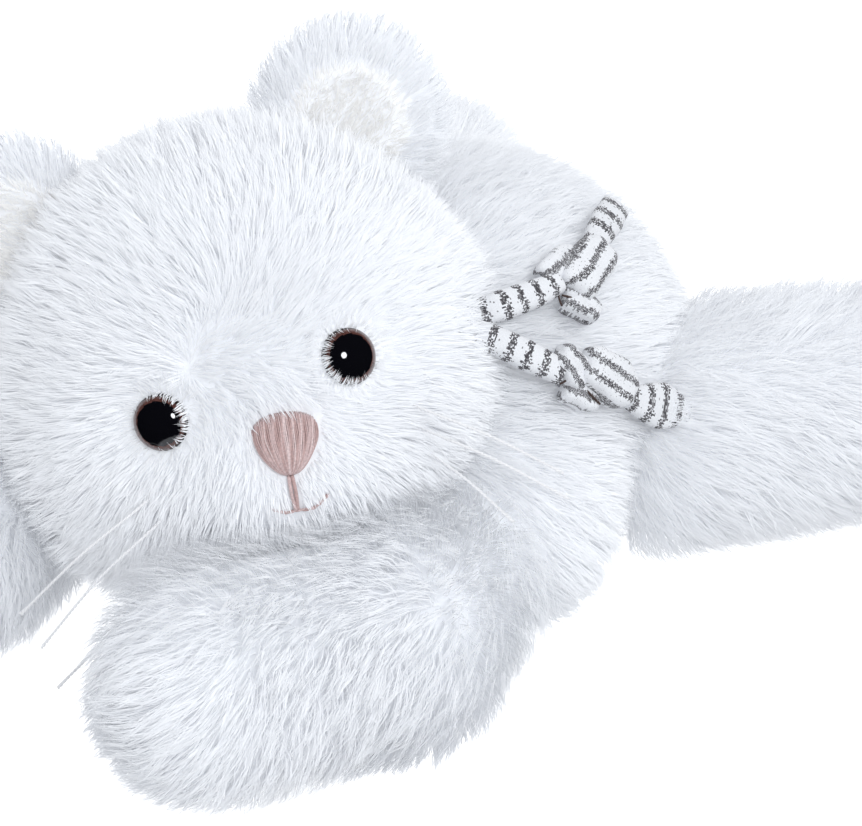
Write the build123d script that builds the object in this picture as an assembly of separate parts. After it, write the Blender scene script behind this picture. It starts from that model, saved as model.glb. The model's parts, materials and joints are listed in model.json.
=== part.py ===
from build123d import *
from math import atan2, cos, radians, sin, sqrt
import os

os.makedirs("parts", exist_ok=True)

# Plush cat lying on its belly. Millimetres, +Z up, the cat faces -Y and its own left is +X.
# Origin: bottom centre of the whole toy on the floor.

# Head: a stuffed ball that turns on its sewn neck.
HEAD_CENTRE = (-8.0, -50.0, 84.0)
HEAD_RADIUS = 65.0
HEAD_SKIN = 7.0
HEAD_YAW = 50.0
HEAD_PITCH = -23.3
HEAD_ROLL = -16.5
NECK_GAP = 2.5

# Eyes: domed lens on a brown base whose shank locks into a washer behind the skin.
EYE_SIDE = 28.5
EYE_HEIGHT = -5.0
LENS_RADIUS = 7.5
LENS_HEIGHT = 5.2
EYE_BASE_RADIUS = 8.2
EYE_BASE_THICKNESS = 2.4
SHANK_RADIUS = 1.8
WASHER_RADIUS = 8.0
WASHER_THICKNESS = 1.6

# Embroidered nose and mouth.
NOSE_WIDTH = 20.0
NOSE_HEIGHT = 19.0
NOSE_DEPTH = 3.0
NOSE_DROP = -22.5
THREAD_RADIUS = 0.9
MOUTH_DROP = -42.5
MOUTH_HALF_WIDTH = 8.0

# Whiskers: stiff twisted threads, three a side. Root and tip in the head's own frame.
WHISKER_RADIUS = 0.55
WHISKERS = {
    "whisker_left_upper": ((41.0, -44.5, -25.0), (74.7, -66.5, -57.0)),
    "whisker_left_middle": ((40.5, -40.5, -32.0), (73.5, -69.5, -64.0)),
    "whisker_left_lower": ((40.0, -33.0, -39.5), (56.9, -59.7, -66.7)),
    "whisker_right_upper": ((-41.0, -44.5, -25.0), (-86.0, -51.5, -45.5)),
    "whisker_right_middle": ((-39.0, -42.0, -32.0), (-83.5, -52.5, -56.5)),
    "whisker_right_lower": ((-37.0, -36.0, -39.5), (-83.0, -54.0, -69.0)),
}

# Ears: a rounded flap that folds about its sewn base.
EAR_BASE = (46.5, 8.0, 46.5)
EAR_LEAN = 40.7
EAR_RADIUS = 25.0
EAR_RISE = 8.0
EAR_THICKNESS = 10.0
EAR_BASE_HALF = 21.0
EAR_GAP = 1.2

# Torso: a flat-bottomed stuffed ellipsoid with a shoulder lump on each side.
TORSO_CENTRE = (0.0, 26.0, 52.0)
TORSO_HALF = (72.0, 78.0, 58.0)
SKIN = 6.0
SHOULDER_LUMP = (58.0, -6.0, 34.0)
SHOULDER_LUMP_RADIUS = 33.0
PELLET_BAG_HALF = (26.0, 30.0, 9.0)
PELLET_BAG_CENTRE = (0.0, 32.0, 27.0)

# Legs and tail: each starts in a ball that sits in a socket of the torso.
SHOULDER = (80.0, -30.0, 28.0)
SHOULDER_RADIUS = 25.0
ELBOW = (90.0, -68.0, 27.0)
ELBOW_RADIUS = 28.0
PAW = (64.0, -127.0, 30.0)
PAW_RADIUS = 31.0
HIP = (66.0, 62.0, 29.0)
HIP_RADIUS = 30.0
FOOT = (106.0, 128.0, 28.0)
FOOT_RADIUS = 29.0
TAIL_ROOT = (0.0, 96.0, 22.0)
TAIL_ROOT_RADIUS = 13.0
TAIL_TIP = (-32.0, 138.0, 12.0)
TAIL_TIP_RADIUS = 11.0
SOCKET_GAP = 1.8
FORELEG_SWING = (-10.0, 0.0, 12.0, 25.0)
HIND_LEG_SWING = (-15.0, 0.0, 12.0, 25.0)
TAIL_SWING = (-12.0, 0.0, 10.0, 22.0)
SEAM_THREAD_RADIUS = 0.5

# Neck ribbon: a knit tube round the neck, tied on the left, with two knotted tails.
BAND_TILT = 45.0
BAND_OFFSET = 49.85
BAND_RADIUS = 48.0
BAND_TUBE = 2.2
BOW = (
    ((28.5, 7.5, 68.5), 2.4),
    ((39.2, 3.0, 83.4), 2.6),
    ((46.5, -5.5, 97.5), 7.0),
)
UPPER_TAIL = (
    ((47.5, -1.0, 101.0), 5.0),
    ((57.0, 18.0, 105.5), 5.5),
    ((55.5, 32.0, 107.0), 9.5),
    ((47.0, 51.0, 108.5), 6.0),
    ((38.5, 66.0, 108.0), 6.0),
)
LOWER_TAIL = (
    ((52.0, -7.0, 93.5), 5.0),
    ((66.5, -2.0, 91.0), 5.5),
    ((76.5, 12.0, 82.0), 10.0),
    ((81.5, 28.0, 73.0), 6.5),
    ((83.0, 44.0, 63.0), 6.5),
)


def plus(p, q):
    """The sum of two points."""
    return tuple(a + b for a, b in zip(p, q))


def mirrored(p):
    """The same point on the cat's right."""
    return (-p[0], p[1], p[2])


def ball(centre, radius):
    """A sphere about a point."""
    return Pos(*centre) * Sphere(radius)


def ellipsoid(centre, half):
    """An ellipsoid with half sizes along X, Y and Z."""
    return Pos(*centre) * scale(Sphere(1), by=half)


def toward(p, q):
    """A plane at p whose Z axis points at q."""
    return Plane(origin=p, z_dir=tuple(b - a for a, b in zip(p, q)))


def capsule(p, rp, q, rq):
    """A tapered rod with round ends: the hull of a ball at p and a ball at q."""
    length = sqrt(sum((b - a) ** 2 for a, b in zip(p, q)))
    s = (rp - rq) / length
    c = sqrt(1 - s * s)
    low = (rp * c, rp * s)
    high = (rq * c, length + rq * s)
    turn_p = atan2(s, c) / 2 - radians(45)
    turn_q = atan2(s, c) / 2 + radians(45)
    outline = [
        ThreePointArc((0, -rp), (rp * cos(turn_p), rp * sin(turn_p)), low),
        Line(low, high),
        ThreePointArc(high, (rq * cos(turn_q), length + rq * sin(turn_q)), (0, length + rq)),
        Line((0, length + rq), (0, -rp)),
    ]
    profile = make_face(Plane.XZ * Wire(outline))
    return toward(p, q).location * revolve(profile, Axis.Z)


def rod_chain(stations, grow=0.0):
    """Capsules through a list of (point, radius) stations, fused into one solid."""
    chain = None
    for (p, rp), (q, rq) in zip(stations[:-1], stations[1:]):
        link = capsule(p, rp + grow, q, rq + grow - 0.4)
        chain = link if chain is None else chain + link
    return chain


def above_floor(solid, level=0.0):
    """The part of a solid that is above a level."""
    return solid & Pos(0, 0, level + 200) * Box(800, 800, 400)


def swung(solid, pivot, angle):
    """A solid turned about the vertical line through its pivot."""
    x, y, z = pivot
    return Pos(x, y, z) * Rot(0, 0, angle) * Pos(-x, -y, -z) * solid


def without(solid, *tools):
    """A solid with others cut away."""
    for tool in tools:
        solid = solid - tool
    return solid


def mirrored_chain(stations):
    """A chain's stations moved to the cat's right."""
    return tuple((mirrored(p), r) for p, r in stations)


def head_place():
    """The head's own frame: x to its left, y to its back, z to its crown."""
    return Pos(*HEAD_CENTRE) * Rot(0, 0, HEAD_YAW) * Rot(HEAD_PITCH, 0, 0) * Rot(0, HEAD_ROLL, 0)


def on_head(x, z, radius):
    """A point of the head's front at that radius, in the head's own frame."""
    return (x, -sqrt(radius * radius - x * x - z * z), z)


def outward(point):
    """A plane at a point of the head, with its Z axis away from the head's centre."""
    return Plane(origin=point, x_dir=(-point[1], point[0], 0), z_dir=point)


FORELEG = ((SHOULDER, SHOULDER_RADIUS), (ELBOW, ELBOW_RADIUS), (PAW, PAW_RADIUS))
HIND_LEG = ((HIP, HIP_RADIUS), (FOOT, FOOT_RADIUS))
TAIL = ((TAIL_ROOT, TAIL_ROOT_RADIUS), (TAIL_TIP, TAIL_TIP_RADIUS))
LIMBS = {
    "foreleg_left": (FORELEG, FORELEG_SWING, 1),
    "foreleg_right": (mirrored_chain(FORELEG), FORELEG_SWING, -1),
    "hind_leg_left": (HIND_LEG, HIND_LEG_SWING, 1),
    "hind_leg_right": (mirrored_chain(HIND_LEG), HIND_LEG_SWING, -1),
    "tail": (TAIL, TAIL_SWING, 1),
}
parts = {}


def make_limb(name, stations):
    """Fur cover and stuffing of a leg or the tail, flat where it lies on the floor."""
    skin = SKIN if name != "tail" else 4.0
    core = above_floor(rod_chain(stations, -skin), skin)
    parts[name + "_cover"] = above_floor(rod_chain(stations)) - core
    parts[name + "_stuffing"] = core


def swept_room(stations, swing, side):
    """The room a limb needs over its whole swing, with its gap."""
    pivot = stations[0][0]
    grown = rod_chain(stations[:2], SOCKET_GAP)
    return [swung(grown, pivot, side * angle) for angle in swing]


for limb, (limb_stations, _, _) in LIMBS.items():
    make_limb(limb, limb_stations)

# Torso: outer skin less the head's hollow and the limbs' sockets.
recess = ball(HEAD_CENTRE, HEAD_RADIUS + NECK_GAP)
front_trim = Pos(0, -134, 50) * Box(300, 200, 300)
torso_outer = ellipsoid(TORSO_CENTRE, TORSO_HALF)
for x_side in (1, -1):
    lump = SHOULDER_LUMP if x_side > 0 else mirrored(SHOULDER_LUMP)
    torso_outer = torso_outer + ball(lump, SHOULDER_LUMP_RADIUS)
torso_outer = above_floor(torso_outer) - recess - front_trim
for limb_stations, limb_swing, limb_side in LIMBS.values():
    torso_outer = without(torso_outer, *swept_room(limb_stations, limb_swing, limb_side))

core_half = tuple(h - 8.0 for h in TORSO_HALF)
torso_core = above_floor(ellipsoid(TORSO_CENTRE, core_half), 8.0)
torso_core = torso_core - ball(HEAD_CENTRE, HEAD_RADIUS + NECK_GAP + 7.0)
torso_core = torso_core - Pos(0, -124, 50) * Box(300, 200, 300)
for limb_stations, _, _ in LIMBS.values():
    pivot_point, pivot_radius = limb_stations[0]
    torso_core = torso_core - ball(pivot_point, pivot_radius + SOCKET_GAP + 7.0)
pellet_bag = ellipsoid(PELLET_BAG_CENTRE, PELLET_BAG_HALF)
parts["pellet_bag"] = pellet_bag
parts["torso_stuffing"] = torso_core - pellet_bag

# Neck ribbon: the band lies in the crease between head and torso.
tilt = radians(BAND_TILT)
band_axis = (0, cos(tilt), -sin(tilt))
band_centre = plus(HEAD_CENTRE, tuple(BAND_OFFSET * a for a in band_axis))
band_plane = Plane(origin=band_centre, x_dir=(1, 0, 0), z_dir=band_axis)
band = band_plane.location * Torus(BAND_RADIUS, BAND_TUBE)
band_groove = band_plane.location * Torus(BAND_RADIUS, BAND_TUBE + 0.3)
bow = rod_chain(BOW) - recess
upper_tail = rod_chain(UPPER_TAIL) - recess
lower_tail = rod_chain(LOWER_TAIL) - recess - upper_tail
parts["ribbon_neck_band"] = band
parts["ribbon_bow_knot"] = without(bow, band, upper_tail, lower_tail)
parts["ribbon_upper_tail"] = upper_tail - band
parts["ribbon_lower_tail"] = lower_tail - band

# Belly seam: the ladder stitch that closes the body after stuffing.
belly_seam = capsule((0, 4, 1.2), 0.8, (0, 44, 1.2), 0.8)
parts["belly_seam_thread"] = belly_seam

torso_cover = without(torso_outer, torso_core, band_groove, bow, upper_tail, lower_tail)
parts["torso_cover"] = torso_cover - belly_seam

# Seam threads: one ring in the gap behind each limb's ball and one behind the head.
for limb, (limb_stations, _, _) in LIMBS.items():
    pivot_point, pivot_radius = limb_stations[0]
    next_point = limb_stations[1][0]
    flat_next = (next_point[0], next_point[1], pivot_point[2])
    shell = pivot_radius + SOCKET_GAP / 2
    ring_radius = min(0.8 * shell, pivot_point[2] - 2.0)
    ring_offset = -sqrt(shell * shell - ring_radius * ring_radius)
    ring = Pos(0, 0, ring_offset) * Torus(ring_radius, SEAM_THREAD_RADIUS)
    parts[limb + "_seam_thread"] = toward(pivot_point, flat_next).location * ring

neck_shell = HEAD_RADIUS + NECK_GAP / 2
neck_ring_radius = 40.0
neck_ring_offset = sqrt(neck_shell**2 - neck_ring_radius**2)
neck_ring = Pos(0, 0, neck_ring_offset) * Torus(neck_ring_radius, 0.6)
parts["neck_gather_thread"] = toward(HEAD_CENTRE, TORSO_CENTRE).location * neck_ring

# Head, built in its own frame and then put in place.
head = {}
head_outer = Sphere(HEAD_RADIUS)
head_core = Sphere(HEAD_RADIUS - HEAD_SKIN)

for label, side_sign in (("left", 1), ("right", -1)):
    seat = outward(on_head(side_sign * EYE_SIDE, EYE_HEIGHT, HEAD_RADIUS - 1.5))
    disc = Pos(0, 0, EYE_BASE_THICKNESS / 2) * Cylinder(EYE_BASE_RADIUS, EYE_BASE_THICKNESS)
    shank = Pos(0, 0, -5.0) * Cylinder(SHANK_RADIUS, 10.0)
    eye_base = seat.location * (disc + shank)
    dome_radius = (LENS_RADIUS**2 + LENS_HEIGHT**2) / (2 * LENS_HEIGHT)
    dome = Pos(0, 0, LENS_HEIGHT - dome_radius) * Sphere(dome_radius)
    lens = dome & Pos(0, 0, 10) * Cylinder(LENS_RADIUS + 1, 20)
    washer = Cylinder(WASHER_RADIUS, WASHER_THICKNESS) - Cylinder(SHANK_RADIUS, 4)
    washer_drop = -HEAD_SKIN + 0.3
    head["eye_" + label + "_base"] = eye_base
    head["eye_" + label + "_lens"] = seat.location * Pos(0, 0, EYE_BASE_THICKNESS) * lens
    head["eye_" + label + "_washer"] = seat.location * Pos(0, 0, washer_drop) * washer

nose_seat = outward(on_head(0, NOSE_DROP, HEAD_RADIUS - 1.5))
nose_outline = Polygon(
    (-NOSE_WIDTH / 2, NOSE_HEIGHT * 0.30),
    (-NOSE_WIDTH * 0.26, NOSE_HEIGHT * 0.48),
    (NOSE_WIDTH * 0.26, NOSE_HEIGHT * 0.48),
    (NOSE_WIDTH / 2, NOSE_HEIGHT * 0.30),
    (NOSE_WIDTH * 0.42, -NOSE_HEIGHT * 0.05),
    (0, -NOSE_HEIGHT * 0.52),
    (-NOSE_WIDTH * 0.42, -NOSE_HEIGHT * 0.05),
    align=None,
)
nose_place = Plane(origin=nose_seat.origin, x_dir=(1, 0, 0), z_dir=nose_seat.z_dir)
head["nose_stitching"] = nose_place.location * extrude(nose_outline, NOSE_DEPTH)

stem_top = on_head(0, NOSE_DROP - NOSE_HEIGHT * 0.56, HEAD_RADIUS)
stem_foot = on_head(0, MOUTH_DROP, HEAD_RADIUS)
mouth = capsule(stem_top, THREAD_RADIUS, stem_foot, THREAD_RADIUS)
for side_sign in (1, -1):
    corner = on_head(side_sign * MOUTH_HALF_WIDTH, MOUTH_DROP + 2.0, HEAD_RADIUS)
    mouth = mouth + capsule(stem_foot, THREAD_RADIUS - 0.1, corner, THREAD_RADIUS - 0.2)
head["mouth_stitching"] = mouth

for whisker, (root, tip) in WHISKERS.items():
    head[whisker] = capsule(root, WHISKER_RADIUS, tip, WHISKER_RADIUS)

# Ears, each with a fur back and a short-pile lining.
ear_grooves = []
for label, side_sign in (("left", 1), ("right", -1)):
    base = (side_sign * EAR_BASE[0], EAR_BASE[1], EAR_BASE[2])
    place = Pos(*base) * Rot(0, side_sign * EAR_LEAN, 0)
    flap_disc = Pos(0, 0, EAR_RISE) * Rot(90, 0, 0) * Cylinder(EAR_RADIUS, EAR_THICKNESS)
    flap = flap_disc & Pos(0, 0, 50) * Box(100, 100, 100)
    barrel = Rot(0, 90, 0) * Cylinder(EAR_THICKNESS / 2, 2 * EAR_BASE_HALF)
    flap = flap + barrel
    lining = flap & Pos(0, -50.1, 0) * Box(200, 100, 200)
    back = flap & Pos(0, 50, 0) * Box(200, 100, 200)
    head["ear_" + label + "_lining"] = place * lining
    head["ear_" + label + "_back"] = place * back
    groove_radius = EAR_THICKNESS / 2 + EAR_GAP
    groove = Rot(0, 90, 0) * Cylinder(groove_radius, 2 * (EAR_BASE_HALF + 1.2))
    ear_grooves.append(place * groove)
    room = Pos(0, 0, EAR_RISE) * Rot(90, 0, 0) * Cylinder(EAR_RADIUS + 1.2, 2 * groove_radius)
    room = room & Pos(0, 0, 50) * Box(100, 100, 100)
    for fold in (-20, -8, 0, 8, 20):
        ear_grooves.append(place * Rot(fold, 0, 0) * room)

trims = [s for n, s in head.items() if not n.startswith("ear_")]
head_core = without(head_core, *[s for n, s in head.items() if n.startswith("eye_")])
head_core = without(head_core, *ear_grooves)
head["head_cover"] = without(head_outer, Sphere(HEAD_RADIUS - HEAD_SKIN), *trims, *ear_grooves)
head["head_stuffing"] = head_core
for head_node, head_solid in head.items():
    parts[head_node] = head_place() * head_solid

for node, solid in parts.items():
    solids = solid.solids()
    body = solids[0] if len(solids) == 1 else max(solids, key=lambda s: s.volume)
    export_step(body, "parts/" + node + ".step")

everything = Compound([s for s in parts.values()]).bounding_box()
print("nodes", len(parts))
print("low", everything.min, "high", everything.max)
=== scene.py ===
import json
import math

import bmesh
import bpy
import numpy as np
from mathutils import Matrix, Vector


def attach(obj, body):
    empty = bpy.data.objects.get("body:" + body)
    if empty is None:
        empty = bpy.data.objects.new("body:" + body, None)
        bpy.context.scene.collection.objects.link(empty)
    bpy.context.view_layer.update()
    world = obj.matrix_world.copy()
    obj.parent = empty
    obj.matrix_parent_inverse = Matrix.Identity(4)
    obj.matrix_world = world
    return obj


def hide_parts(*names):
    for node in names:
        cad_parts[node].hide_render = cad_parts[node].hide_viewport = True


# Plush cat: long-pile fur, bead eyes, stitched nose, thread whiskers and a knotted knit ribbon.
# Shapes are worked out in millimetres in the model's frame, called row here, or in the head's own
# frame, and are written to meshes in metres.

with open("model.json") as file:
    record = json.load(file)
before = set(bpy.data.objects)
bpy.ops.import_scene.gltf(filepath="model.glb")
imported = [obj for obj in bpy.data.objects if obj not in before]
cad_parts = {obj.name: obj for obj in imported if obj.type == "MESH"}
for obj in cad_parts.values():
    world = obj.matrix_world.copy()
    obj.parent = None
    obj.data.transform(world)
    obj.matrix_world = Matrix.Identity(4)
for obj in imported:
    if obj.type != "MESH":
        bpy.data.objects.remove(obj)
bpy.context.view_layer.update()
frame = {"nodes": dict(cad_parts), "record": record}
MM = 0.001
RNG = np.random.default_rng(11)
DENSITY = 0.7

HEAD_CENTRE = np.array((-8.0, -50.0, 84.0))
HEAD_ANGLES = (50.0, -23.3, -16.5)
EYES = (np.array((27.4, -63.6, -4.9)), np.array((-29.5, -62.7, -5.0)))
EYE_RADIUS = 8.3
EYE_HEIGHT = 5.2
NOSE_CENTRE = np.array((2.2, -21.6))
NOSE_TILT = 12.5
NOSE_TOP = 9.0
NOSE_TIP = -9.0
EAR_BASE = np.array((46.5, 8.0, 46.5))
EAR_LEAN = 40.7
SHOULDER = np.array((70.0, -38.0, 34.0))
ELBOW = np.array((78.5, -75.0, 34.0))
PAW = np.array((61.0, -125.0, 34.0))
HIP = np.array((62.0, 62.0, 39.5))
FOOT = np.array((98.5, 123.0, 38.0))
TAIL_ROOT = np.array((0.0, 94.0, 24.0))
TAIL_TIP = np.array((-32.0, 138.0, 17.0))
FAR_SHIFT = np.array((7.0, -5.0, 0.0))
PILE = 17.0
MOST_STRANDS = 60000  # in one mesh
HEAD_HAIR = 2.1  # strands on a square millimetre
BODY_HAIR = 1.45
EAR_HAIR = 2.4
EYE_CLEAR = 7.7  # no strand of the head grows nearer to an eye's middle
LEAN = (34, 66)  # degrees from upright, lower and upper half of a strand


def turn(axis, degrees):
    """A 3 by 3 turn about X, Y or Z."""
    return np.array(Matrix.Rotation(math.radians(degrees), 3, axis))


HEAD_TURN = turn("Z", HEAD_ANGLES[0]) @ turn("X", HEAD_ANGLES[1]) @ turn("Y", HEAD_ANGLES[2])


def to_row(points):
    """Points of the head's own frame, in the row frame."""
    return np.asarray(points) @ HEAD_TURN.T + HEAD_CENTRE


def to_head(points):
    """Points of the row frame, in the head's own frame."""
    return (np.asarray(points) - HEAD_CENTRE) @ HEAD_TURN


def unit(v):
    """Vectors scaled to length one."""
    return v / np.maximum(np.linalg.norm(v, axis=-1, keepdims=True), 1e-9)


# Signed distances, in millimetres


def ball(p, centre, radius):
    """A ball of that radius."""
    return np.linalg.norm(p - centre, axis=1) - radius


def egg(p, centre, half):
    """A ball stretched to three half sizes."""
    q = (p - np.asarray(centre)) / np.asarray(half)
    k0 = np.linalg.norm(q, axis=1)
    k1 = np.linalg.norm(q / np.asarray(half), axis=1)
    return k0 * (k0 - 1.0) / np.maximum(k1, 1e-6)


def rod(p, a, b, ra, rb):
    """A round-ended rod from a to b, whose radius goes from ra to rb."""
    d = b - a
    t = np.clip(((p - a) @ d) / (d @ d), 0, 1)
    return np.linalg.norm(p - a - t[:, None] * d, axis=1) - (ra + (rb - ra) * t)


def blend_min(a, b, k):
    """Two shapes joined, with a fillet of about k."""
    h = np.clip(0.5 + 0.5 * (b - a) / k, 0, 1)
    return b * (1 - h) + a * h - k * h * (1 - h)


def head_local(p):
    """The head: skull, cheeks and muzzle, in its own frame."""
    d = ball(p, np.zeros(3), 63.5)
    d = blend_min(d, egg(p, (0, -8, -17), (67, 57, 47)), 22)
    return blend_min(d, egg(p, (0, -51, -32), (25, 19, 18)), 14)


def head_shape(p):
    """The head, in the row frame."""
    return head_local(to_head(p))


def foreleg(p, side):
    """A foreleg bent at the elbow; the right paw lies a little inwards."""
    s = np.array((side, 1.0, 1.0))
    if side < 0:
        p = p - FAR_SHIFT * np.clip((-40 - p[:, 1:2]) / 60, 0, 1)
    upper = rod(p, SHOULDER * s, ELBOW * s, 25, 30)
    return blend_min(upper, rod(p, ELBOW * s, PAW * s, 30, 31.5), 8)


def hind_leg(p, side):
    """A hind leg stretched out behind."""
    s = np.array((side, 1.0, 1.0))
    return rod(p, HIP * s, FOOT * s, 34, 30.5)


def tail(p):
    """The short tail."""
    return rod(p, TAIL_ROOT, TAIL_TIP, 12, 10)


def torso(p):
    """The body with its shoulders and haunches, hollowed where the head rests."""
    d = egg(p, (0, 24, 57.5), (72, 78, 56.5))
    for side in (1, -1):
        d = blend_min(d, ball(p, np.array((57.0 * side, -8.0, 38.0)), 33), 16)
        d = blend_min(d, ball(p, np.array((52.0 * side, 60.0, 36.0)), 32), 16)
    return np.maximum(d, -ball(p, HEAD_CENTRE, 68.0))


SHAPES = {
    "head": head_shape,
    "torso": torso,
    "foreleg_left": lambda p: foreleg(p, 1),
    "foreleg_right": lambda p: foreleg(p, -1),
    "hind_leg_left": lambda p: hind_leg(p, 1),
    "hind_leg_right": lambda p: hind_leg(p, -1),
    "tail": tail,
}


def slope(shape, p, step=0.4):
    """Outward unit normals of a shape at points."""
    g = np.empty_like(p)
    for i in range(3):
        e = np.zeros(3)
        e[i] = step
        g[:, i] = shape(p + e) - shape(p - e)
    return unit(g)


# Materials


def plain(name, colour, rough, **sockets):
    """A principled material with one colour all over."""
    mat = bpy.data.materials.new(name)
    mat.use_nodes = True
    b = mat.node_tree.nodes["Principled BSDF"]
    b.inputs["Base Color"].default_value = (*colour, 1.0)
    b.inputs["Roughness"].default_value = rough
    for key, value in sockets.items():
        b.inputs[key.replace("_", " ")].default_value = value
    return mat


def node(mat, kind, **values):
    """A new node of a material, with some of its inputs set."""
    n = mat.node_tree.nodes.new(kind)
    for key, value in values.items():
        n.inputs[key].default_value = value
    return n


def mottle(mat, colour, other, scale, bump=0.0, stretch=(1, 1, 1)):
    """Fine colour variation and relief on a material, from noise in the object's own space."""
    links, nodes = mat.node_tree.links, mat.node_tree.nodes
    shader = nodes["Principled BSDF"]
    place = node(mat, "ShaderNodeTexCoord")
    spread = node(mat, "ShaderNodeMapping", Scale=stretch)
    noise = node(mat, "ShaderNodeTexNoise", Scale=scale, Detail=4.0)
    ramp = node(mat, "ShaderNodeValToRGB")
    ramp.color_ramp.elements[0].position, ramp.color_ramp.elements[1].position = 0.35, 0.65
    ramp.color_ramp.elements[0].color, ramp.color_ramp.elements[1].color = (*other, 1), (*colour, 1)
    links.new(place.outputs["Object"], spread.inputs["Vector"])
    links.new(spread.outputs["Vector"], noise.inputs["Vector"])
    links.new(noise.outputs["Fac"], ramp.inputs["Fac"])
    links.new(ramp.outputs["Color"], shader.inputs["Base Color"])
    if bump:
        relief = node(mat, "ShaderNodeBump", Strength=bump, Distance=0.0003)
        links.new(noise.outputs["Fac"], relief.inputs["Height"])
        links.new(relief.outputs["Normal"], shader.inputs["Normal"])
    return mat


def tones(name, colour, shades, rough, sheen, painted_glow, painted_glow_strength):
    """A plain strand material for each tone of a colour, with a faint painted glow that lifts the shade
    between the strands.
    """
    return [
        plain(
            name + "_tone_" + str(i),
            tuple(c * shade for c in colour),
            rough,
            Sheen_Weight=sheen,
            Specular_IOR_Level=0.2,
            Emission_Color=(*painted_glow, 1.0),
            Emission_Strength=painted_glow_strength,
        )
        for i, shade in enumerate(shades)
    ]


FUR_SHADES = (1.0, 0.995, 0.988, 0.98, 0.965)
# The fur strands glow faintly: painted light that lifts the shade inside the pile.
FUR = tones("fur", (0.958, 0.968, 0.992), FUR_SHADES, 0.7, 0.2, (0.95, 0.97, 1.0), 0.05)
FUR_SHARES = (0.34, 0.28, 0.2, 0.12, 0.06)
# The lining's pile glows a little more: painted light that brightens it.
CREAM = tones("lining", (0.975, 0.97, 0.96), (1.0, 0.985, 0.97), 0.75, 0.3, (1.0, 0.99, 0.98), 0.09)
CREAM_SHARES = (0.5, 0.3, 0.2)
BACKING = plain("fur_backing", (0.91, 0.925, 0.96), 0.85, Specular_IOR_Level=0.1)
mottle(BACKING, (0.955, 0.965, 0.99), (0.925, 0.938, 0.968), 900.0, 0.4)


# Meshes


def make_mesh(name, verts, polys, mats, index=None):
    """An object from vertices in millimetres and lists of equal-sided polygons."""
    mesh = bpy.data.meshes.new(name)
    mesh.vertices.add(len(verts))
    mesh.vertices.foreach_set("co", (np.asarray(verts, np.float32) * MM).ravel())
    loops = np.concatenate([np.asarray(q, np.int32).ravel() for q in polys])
    sizes = np.concatenate([np.full(len(q), np.asarray(q).shape[1], np.int32) for q in polys])
    starts = np.concatenate(([0], np.cumsum(sizes)[:-1])).astype(np.int32)
    mesh.loops.add(len(loops))
    mesh.loops.foreach_set("vertex_index", loops)
    mesh.polygons.add(len(sizes))
    mesh.polygons.foreach_set("loop_start", starts)
    for m in mats:
        mesh.materials.append(m)
    if index is not None:
        mesh.polygons.foreach_set("material_index", np.asarray(index, np.int32))
    mesh.polygons.foreach_set("use_smooth", np.ones(len(sizes), bool))
    mesh.update(calc_edges=True)
    obj = bpy.data.objects.new(name, mesh)
    bpy.context.scene.collection.objects.link(obj)
    return obj


def globe(level):
    """Directions and triangles of a fine ball."""
    bm = bmesh.new()
    bmesh.ops.create_icosphere(bm, subdivisions=level, radius=1.0)
    v = np.array([x.co[:] for x in bm.verts])
    f = np.array([[x.index for x in face.verts] for face in bm.faces])
    bm.free()
    return unit(v), f


def skin(shape, centre, level, along=None, stretch=1.0, floor=None):
    """The surface of a shape seen from its centre, as vertices and triangles."""
    d, faces = globe(level)
    if along is not None:
        a = unit(np.asarray(along, float))
        d = unit(d + (stretch - 1.0) * (d @ a)[:, None] * a)
    low = np.zeros(len(d))
    high = np.full(len(d), 170.0)
    for _ in range(26):
        mid = (low + high) / 2
        inside = shape(centre + d * mid[:, None]) < 0
        low = np.where(inside, mid, low)
        high = np.where(inside, high, mid)
    verts = centre + d * low[:, None]
    if floor is not None:
        verts[:, 2] = np.maximum(verts[:, 2], floor)
    return verts, faces


def scatter(verts, faces, count):
    """Random points spread evenly over triangles."""
    a, b, c = (verts[faces[:, i]] for i in range(3))
    area = np.linalg.norm(np.cross(b - a, c - a), axis=1)
    pick = RNG.choice(len(faces), count, p=area / area.sum())
    u, v = RNG.random(count), RNG.random(count)
    over = u + v > 1
    u[over], v[over] = 1 - u[over], 1 - v[over]
    a, b, c = a[pick], b[pick], c[pick]
    return a + (b - a) * u[:, None] + (c - a) * v[:, None]


def area_of(verts, faces):
    """The area of all the triangles, in square millimetres."""
    a, b, c = (verts[faces[:, i]] for i in range(3))
    return np.linalg.norm(np.cross(b - a, c - a), axis=1).sum() / 2


def swirl(p, size, seed):
    """Smooth random vectors that change over about that many millimetres."""
    r = np.random.default_rng(seed)
    out = np.zeros_like(p)
    for _ in range(5):
        k = r.normal(size=(3, 3)) * (2.2 / size)
        out += np.sin(p @ k + r.uniform(0, 6.28, 3))
    return out / 2.4


def flatten(v, n):
    """Vectors with their part along n taken away."""
    return v - (v * n).sum(1)[:, None] * n


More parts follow.
